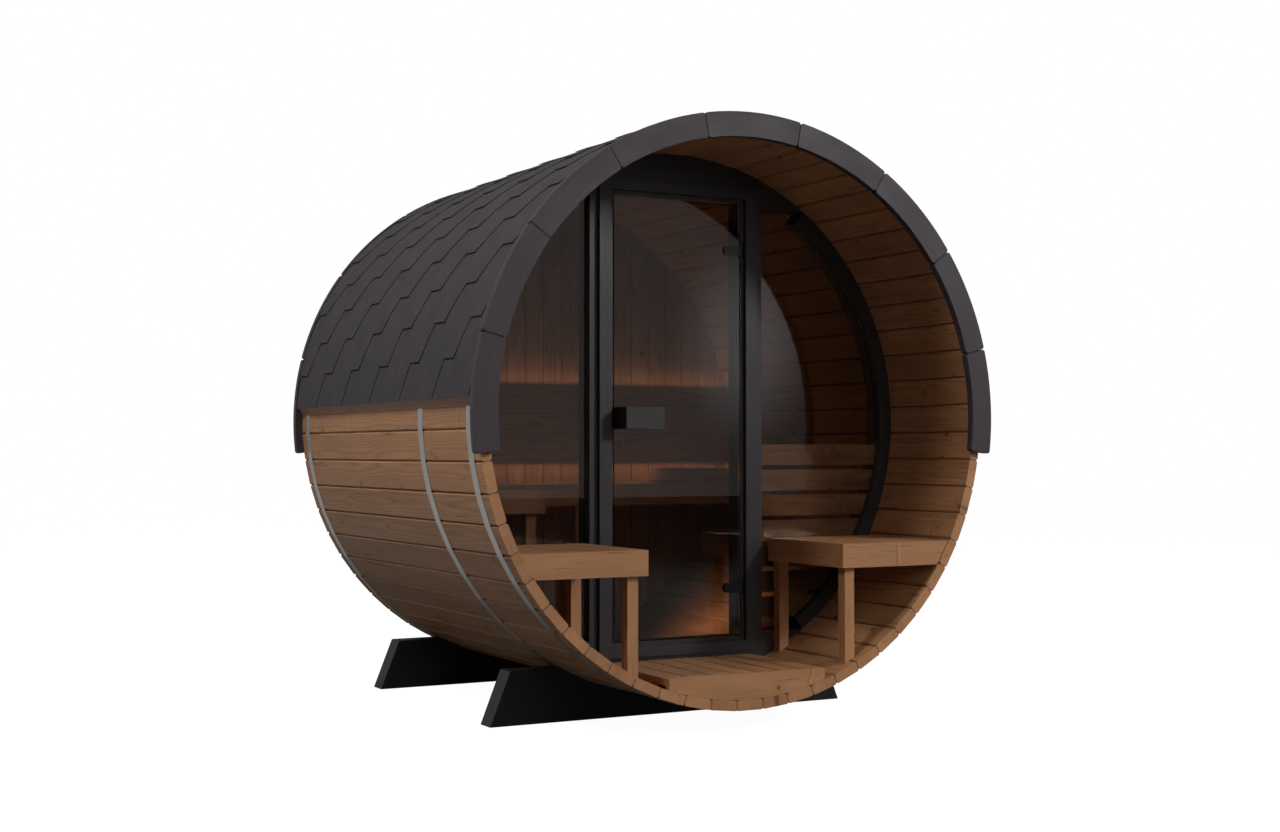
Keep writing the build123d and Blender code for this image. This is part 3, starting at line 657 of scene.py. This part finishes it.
def lay_shingles(sizes):
    """Make the roof's shingles from two kinds of course and a starter strip on each side."""
    angle_step = ROOF_EDGE_ANGLE / sizes.courses
    exposure = angle_step * (ROOF_INNER_RADIUS + STACK_MIDDLE)
    thick = sizes.thickness
    even = shingle_course(sizes, 3 * thick, exposure, True)
    odd = even.copy()
    odd.data = even.data.copy()
    bpy.context.collection.objects.link(odd)
    starter = shingle_course(sizes, 2 * thick, exposure, False)
    # Each tab starts over the notch between two tabs of the course below
    places = ((even, 0, FIRST_TAB), (odd, exposure, FIRST_TAB + sizes.tab_pitch / 2),
              (starter, 0, FIRST_TAB))
    for row, climb, along in places:
        work_on(row)
        mode("EDIT")
        bpy.ops.mesh.select_all(action="SELECT")
        bpy.ops.transform.translate(value=(climb, along, 0))
        mode("OBJECT")
        if row is not starter:
            array(row, (2 * exposure, 0, 0), sizes.courses // 2)
    work_on(even)
    odd.select_set(True)
    starter.select_set(True)
    bpy.ops.object.join()
    roof = even
    ridge = sizes.courses * exposure
    low, high = ROOF_LOW[1] + SHINGLE_GAP, ROOF_HIGH[1] - SHINGLE_GAP
    for point, normal in (((0, low, 0), (0, -1, 0)), ((0, high, 0), (0, 1, 0)),
                          ((ridge, 0, 0), (1, 0, 0))):
        cut(roof, point, normal, drop=True)
    mode("OBJECT")
    work_on(roof)
    other = roof.modifiers.new("other_side", "MIRROR")
    other.use_axis[0] = True
    anchor = bpy.data.objects.new("ridge_line", None)
    anchor.location = (ridge, 0, 0)
    bpy.context.collection.objects.link(anchor)
    other.mirror_object = anchor
    bpy.ops.object.modifier_apply(modifier=other.name)
    bpy.data.objects.remove(anchor)
    # Each row is a sheet of its own, so all of them are turned face up before they thicken
    pick(roof, "FACE", lambda face: face.normal.z < 0)
    bpy.ops.mesh.flip_normals()
    mode("OBJECT")
    roof.data.materials.append(mineral_grit(sizes))
    roof.data.materials.append(cut_bitumen(sizes.edge))
    shell = roof.modifiers.new("thickness", "SOLIDIFY")
    shell.thickness = thick
    shell.offset = -1
    shell.material_offset_rim = 1
    bpy.ops.object.modifier_apply(modifier=shell.name)
    wrap_on_barrel(roof, ROOF_INNER_RADIUS, angle_step / exposure, -ROOF_EDGE_ANGLE)
    work_on(roof)
    bpy.ops.object.shade_smooth_by_angle(angle=math.radians(20))
    roof.name = "roof_shingles"
    roof.data.name = "roof_shingles"
    return roof


# Lamps and the studio


def facing(place, aim):
    """Give the turn of a lamp at one place that shines at another."""
    return (Vector(aim) - Vector(place)).to_track_quat("-Z", "Y").to_euler()


def hang_lamp(name, place, turn, size, energy, tone=WHITE):
    """Add an area lamp and give back its object."""
    lamp = bpy.data.lights.new(name, "AREA")
    lamp.size = size
    lamp.energy = energy
    lamp.color = tuple(tone)
    holder = bpy.data.objects.new(name, lamp)
    holder.location = place
    holder.rotation_euler = turn
    bpy.context.collection.objects.link(holder)
    return holder


def white_floor(studio):
    """White studio floor: matte, lit evenly to the eye, and a soft wall of light to steel."""
    material, tree = new_material("white_studio_floor")
    rays = node(tree, "LightPath").node.outputs
    matte = node(tree, "BsdfPrincipled", {"Base Color": rgba(paint("686868")), "Roughness": 0.9})
    seen = node(tree, "AddShader", {0: matte, 1: glow(tree, 0.97)})
    along = node(tree, "SeparateXYZ", {0: node(tree, "TexCoord", out="Object")}, out=X)
    wall = remap(tree, along, -0.9, -1.6, 0.0, studio.wall * 0.6)
    shone = node(tree, "AddShader", {0: matte, 1: glow(tree, wall)})
    surface = switch(tree, rays["Is Glossy Ray"], matte, shone)
    surface = switch(tree, rays["Is Camera Ray"], surface, seen)
    node(tree, "OutputMaterial", {"Surface": surface})
    return material


def soft_card(studio):
    """Card that glows in the middle and fades to its edges."""
    material, tree = new_material("soft_edged_card")
    place = stretch(tree, node(tree, "TexCoord", out="Object"), (1.45, 1.0, 1.0))
    away = node(tree, "VectorMath", {0: place}, out="Value", operation="LENGTH")
    level = remap(
        tree, away, 0.15, 1.1, studio.card, 0.0, interpolation_type="SMOOTHSTEP")
    clear = node(tree, "BsdfTransparent")
    node(tree, "OutputMaterial", {
        "Surface": node(tree, "AddShader", {0: glow(tree, level), 1: clear})})
    return material


def studio_world(studio):
    """Surroundings: white to the camera, nearly dark as light, and grey in reflections."""
    world = bpy.data.worlds.new("studio")
    world.use_nodes = True
    tree = world.node_tree
    tree.nodes.clear()
    rays = node(tree, "LightPath").node.outputs
    # The steel mirrors a brighter wall at the left, which the front glass doesn't face, and
    # the window at the right mirrors a darker side of the studio
    way = node(tree, "SeparateXYZ", {0: node(tree, "TexCoord", out="Generated")}, out=X)
    right = remap(tree, way, 0.5, 0.57, studio.mirrored, studio.mirrored / 2)
    wall = remap(tree, way, -0.25, -0.85, right, studio.wall)
    surface = switch(
        tree, rays["Is Glossy Ray"], glow(tree, studio.sky, "Background"),
        glow(tree, wall, "Background"))
    surface = switch(tree, rays["Is Camera Ray"], surface, glow(tree, 1.0, "Background"))
    node(tree, "OutputWorld", {"Surface": surface})
    return world


# Operators


class SAUNA_OT_timber(Operator):
    """Finish the staves, the decks, the benches and the rear wall as heat-treated spruce"""

    bl_idname = "sauna.timber"
    bl_label = "Spruce"

    def execute(self, context):
        timber = context.scene.sauna_timber
        count = timber.stave_count
        staves = [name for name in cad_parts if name.startswith("staves_")]
        dress(staves, spruce(
            "heat_treated_spruce_staves", lambda t: stave_space(t, count), timber, 3.0,
            joint=math.pi / count * STAVE_DEPTH_START))
        dress(["roof_deck", "roof_edges"], spruce(
            "heat_treated_spruce_deck", lambda t: stave_space(t, count), timber, 91.0))
        # The front apron and the duckboard's front bar run from side to side, and legs run up
        front_board = (Y, PORCH_APRON_BACK, X, Z, PORCH_APRON_FRONT)
        leg = (Z, SEAT_TOP - APRON_HEIGHT, Z, X, PORCH_LEG_FACE)
        rows = (
            ("duckboard", 140.0, ["duckboard"],
             (Y, X, DUCKBOARD_EDGE, DUCKBOARD_PITCH, DUCKBOARD_TOP, (front_board,))),
            ("porch_bench", 161.0, ["porch_bench_left", "porch_bench_right"],
             (Y, X, PORCH_SEAT_EDGE, SEAT_PITCH, SEAT_TOP, (front_board, leg))),
            ("side_bench", 202.0, ["side_bench"],
             (Y, X, SIDE_SEAT_EDGE, SEAT_PITCH, CABIN_SEAT_TOP)),
            ("bench_legs", 211.0, ["cabin_bench_legs"], (Z, X)),
            ("rear_bench", 222.0, ["rear_bench"],
             (X, Y, REAR_SEAT_EDGE, REAR_SEAT_PITCH, CABIN_SEAT_TOP)),
            ("backrest", 243.0, ["backrest", "window_slats", "headrest"],
             (X, Z, BACKREST_EDGE, BACKREST_PITCH, BACKREST_FACE)),
        )
        for title, seed, names, boards in rows:
            dress(names, spruce(
                "heat_treated_spruce_" + title, lambda t: board_space(t, *boards), timber, seed))
        half = REAR_WALL_PITCH / 2
        dress(["rear_wall"], spruce(
            "heat_treated_spruce_rear_wall",
            lambda t: board_space(t, Z, X, -half, REAR_WALL_PITCH, REAR_WALL_FACE), timber, 264.0,
            shade=0.95, joint=half))
        return {"FINISHED"}


class SAUNA_OT_coated(Operator):
    """Paint the front wall and the cradles black, and stain the fascia blocks"""

    bl_idname = "sauna.coated"
    bl_label = "Paint and stain"

    def execute(self, context):
        finish = context.scene.sauna_paint
        # Each row ends with the roughness, the strength of the streaks and the relief
        rows = (
            ("cradle_timber", ["cradle_front", "cradle_rear"], (X, Z), finish.cradle,
             0.5, 0.2, 0.001),
            ("timber_lying", ["header_panel", "sill_panel"], (X, Z), finish.black,
             0.45, 0.14, 0.0006),
            ("timber_upright", ["door_post_left", "door_post_right", "door_casing"],
             (Z, X, 0.0, 0.5), finish.black, 0.45, 0.14, 0.0006),
            ("timber_curved", ["window_frame_left", "window_frame_right"],
             (Z, X, 0.0, 2.0), finish.black, 0.45, 0.14, 0.0006),
        )
        for title, names, boards, tone, rough, streak, relief in rows:
            dress(names, coated_timber(
                "black_painted_" + title, lambda t: board_space(t, *boards), tone, rough, streak,
                relief))
        half_block = math.radians(FASCIA_BLOCK_ANGLE / 2) * STAVE_DEPTH_START
        dress(["fascia_front", "fascia_rear"], coated_timber(
            "dark_stained_fascia_timber", block_space, finish.stain, 0.6, 0.12, 0.0006,
            joint=half_block))
        for name in ("fascia_front", "fascia_rear", "cradle_front", "cradle_rear"):
            soften(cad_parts[name], EDGE_ROUNDING)
        return {"FINISHED"}


class SAUNA_OT_shingles(Operator):
    """Lay hexagonal bitumen shingles in place of the plain roof covering"""

    bl_idname = "sauna.shingles"
    bl_label = "Roof shingles"

    def execute(self, context):
        sizes = context.scene.sauna_shingles
        roof = lay_shingles(sizes)
        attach(roof, "root")
        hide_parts("roof_covering")
        return {"FINISHED"}


class SAUNA_OT_fittings(Operator):
    """Finish the hoops, the glass, the hinges and the handles"""

    bl_idname = "sauna.fittings"
    bl_label = "Steel, glass and fittings"

    def execute(self, context):
        finish = context.scene.sauna_paint
        dress(["hoop_front", "hoop_middle", "hoop_rear"], hoop_steel(finish.steel))
        dress(["door_glass"], tinted_glass("grey_tinted_door_glass", finish.glass))
        dress(["side_glass_left", "side_glass_right"], tinted_glass(
            "grey_tinted_window_glass", finish.glass, sealed=True))
        dress(["hinge_clamps", "hinge_leaves"], enamel(finish.enamel))
        dress(["handle_inner", "handle_outer"], coated_timber(
            "black_painted_handle_wood", lambda t: board_space(t, X, Z), finish.black,
            0.4, 0.2, 0.0004))
        return {"FINISHED"}


class SAUNA_OT_lights(Operator):
    """Light the strips behind the backrest and the lower right of the cabin"""

    bl_idname = "sauna.lights"
    bl_label = "Cabin lights"

    def execute(self, context):
        lights = context.scene.sauna_lights
        dress(["light_strips"], glowing_diffuser(lights.warm))
        low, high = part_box("light_strips")
        middle = [0.5 * (low[axis] + high[axis]) for axis in (X, Y)]
        gap = 0.006  # from the strips to the lamps that stand for them
        for name, height, tilt in (
                ("glow_up", high[Z] + gap, 180), ("glow_down", low[Z] - gap, 0)):
            holder = hang_lamp(
                name, (*middle, height), (math.radians(tilt), 0, 0), high[X] - low[X],
                lights.power, lights.warm)
            holder.data.shape = "RECTANGLE"
            holder.data.size_y = 0.02
        # A warm pool on the staves at the cabin's lower right
        place = (0.1, 0.1, 0.62)
        holder = hang_lamp(
            "glow_floor", place, facing(place, (0.62, 0.2, 0.3)), 0.1, lights.floor_power,
            lights.warm)
        holder.data.spread = math.radians(75)
        holder.visible_camera = False
        holder.visible_glossy = False
        holder.visible_transmission = False
        return {"FINISHED"}


class SAUNA_OT_stage(Operator):
    """Set the floor, the studio lights and the camera"""

    bl_idname = "sauna.stage"
    bl_label = "Studio"

    def execute(self, context):
        studio = context.scene.sauna_studio
        bpy.ops.object.select_all(action="DESELECT")
        bpy.ops.mesh.primitive_plane_add(size=60, location=(0, 0, -0.0005))
        floor = bpy.context.object
        floor.name = "studio_floor"
        floor.data.materials.append(white_floor(studio))

        # A soft bright card at the front right, which only mirrors in glass and paint
        bpy.ops.object.select_all(action="DESELECT")
        bpy.ops.mesh.primitive_plane_add(size=2.4, location=(4.8, -7.5, 2.1))
        card = bpy.context.object
        card.name = "mirrored_card"
        card.rotation_euler = (math.radians(90), 0, math.radians(33))
        card.data.materials.append(soft_card(studio))
        for kind in ("camera", "diffuse", "transmission", "volume_scatter", "shadow"):
            setattr(card, "visible_" + kind, False)

        context.scene.world = studio_world(studio)
        # Each lamp has a place, a size, a power, and whether it shows in reflections
        lamps = (
            ("key_light", (-5.2, -1.2, 6.8), 2.2, studio.key, True),
            ("front_light", (4.6, -7.0, 5.0), 1.5, studio.front, True),
            ("fill_light", (0.8, -8.0, 3.4), 2.6, studio.fill, False),
            ("top_light", (0.0, -7.0, 7.0), 4.0, studio.fill * 0.2, False),
            ("back_light", (3.0, 8.5, 3.0), 3.5, studio.fill * 2.4, False),
        )
        for name, place, size, energy, mirrored in lamps:
            holder = hang_lamp(name, place, facing(place, STUDIO_AIM), size, energy)
            holder.visible_glossy = mirrored

        lens = bpy.data.cameras.new("photo_camera")
        lens.lens = studio.lens
        lens.sensor_width = 36.0
        camera = bpy.data.objects.new("photo_camera", lens)
        camera.location = (-3.5056, -6.5478, 1.0763)
        camera.rotation_euler = (math.radians(91.212), 0, math.radians(-28.66))
        bpy.context.collection.objects.link(camera)
        context.scene.camera = camera
        context.scene.view_settings.view_transform = "Standard"
        return {"FINISHED"}


class SAUNA_PT_panel(Panel):
    """The sauna's pieces, sizes and colours"""

    bl_idname = "SAUNA_PT_panel"
    bl_label = "Barrel sauna"
    bl_space_type = "VIEW_3D"
    bl_region_type = "UI"
    bl_category = "Sauna"

    def draw(self, context):
        for name, (group, operators) in GROUPS.items():
            box = self.layout.box()
            values = getattr(context.scene, name)
            for key in group.__annotations__:
                box.prop(values, key)
            for operator in operators:
                box.operator(operator)


# The settings on the scene, with the operators that use them

GROUPS = {
    "sauna_timber": (SaunaTimber, ("sauna.timber",)),
    "sauna_paint": (SaunaPaint, ("sauna.coated", "sauna.fittings")),
    "sauna_shingles": (SaunaShingles, ("sauna.shingles",)),
    "sauna_lights": (SaunaLights, ("sauna.lights",)),
    "sauna_studio": (SaunaStudio, ("sauna.stage",)),
}
CLASSES = (
    *(group for group, operators in GROUPS.values()), SAUNA_OT_timber, SAUNA_OT_coated,
    SAUNA_OT_shingles, SAUNA_OT_fittings, SAUNA_OT_lights, SAUNA_OT_stage, SAUNA_PT_panel,
)


def register():
    for cls in CLASSES:
        bpy.utils.register_class(cls)
    for name, (group, operators) in GROUPS.items():
        setattr(bpy.types.Scene, name, PointerProperty(type=group))


def unregister():
    for name in GROUPS:
        delattr(bpy.types.Scene, name)
    for cls in reversed(CLASSES):
        bpy.utils.unregister_class(cls)


def main():
    """Build the whole scene."""
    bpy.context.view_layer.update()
    register()
    bpy.ops.sauna.timber()
    bpy.ops.sauna.coated()
    bpy.ops.sauna.shingles()
    bpy.ops.sauna.fittings()
    bpy.ops.sauna.lights()
    bpy.ops.sauna.stage()


if __name__ == "__main__":
    main()
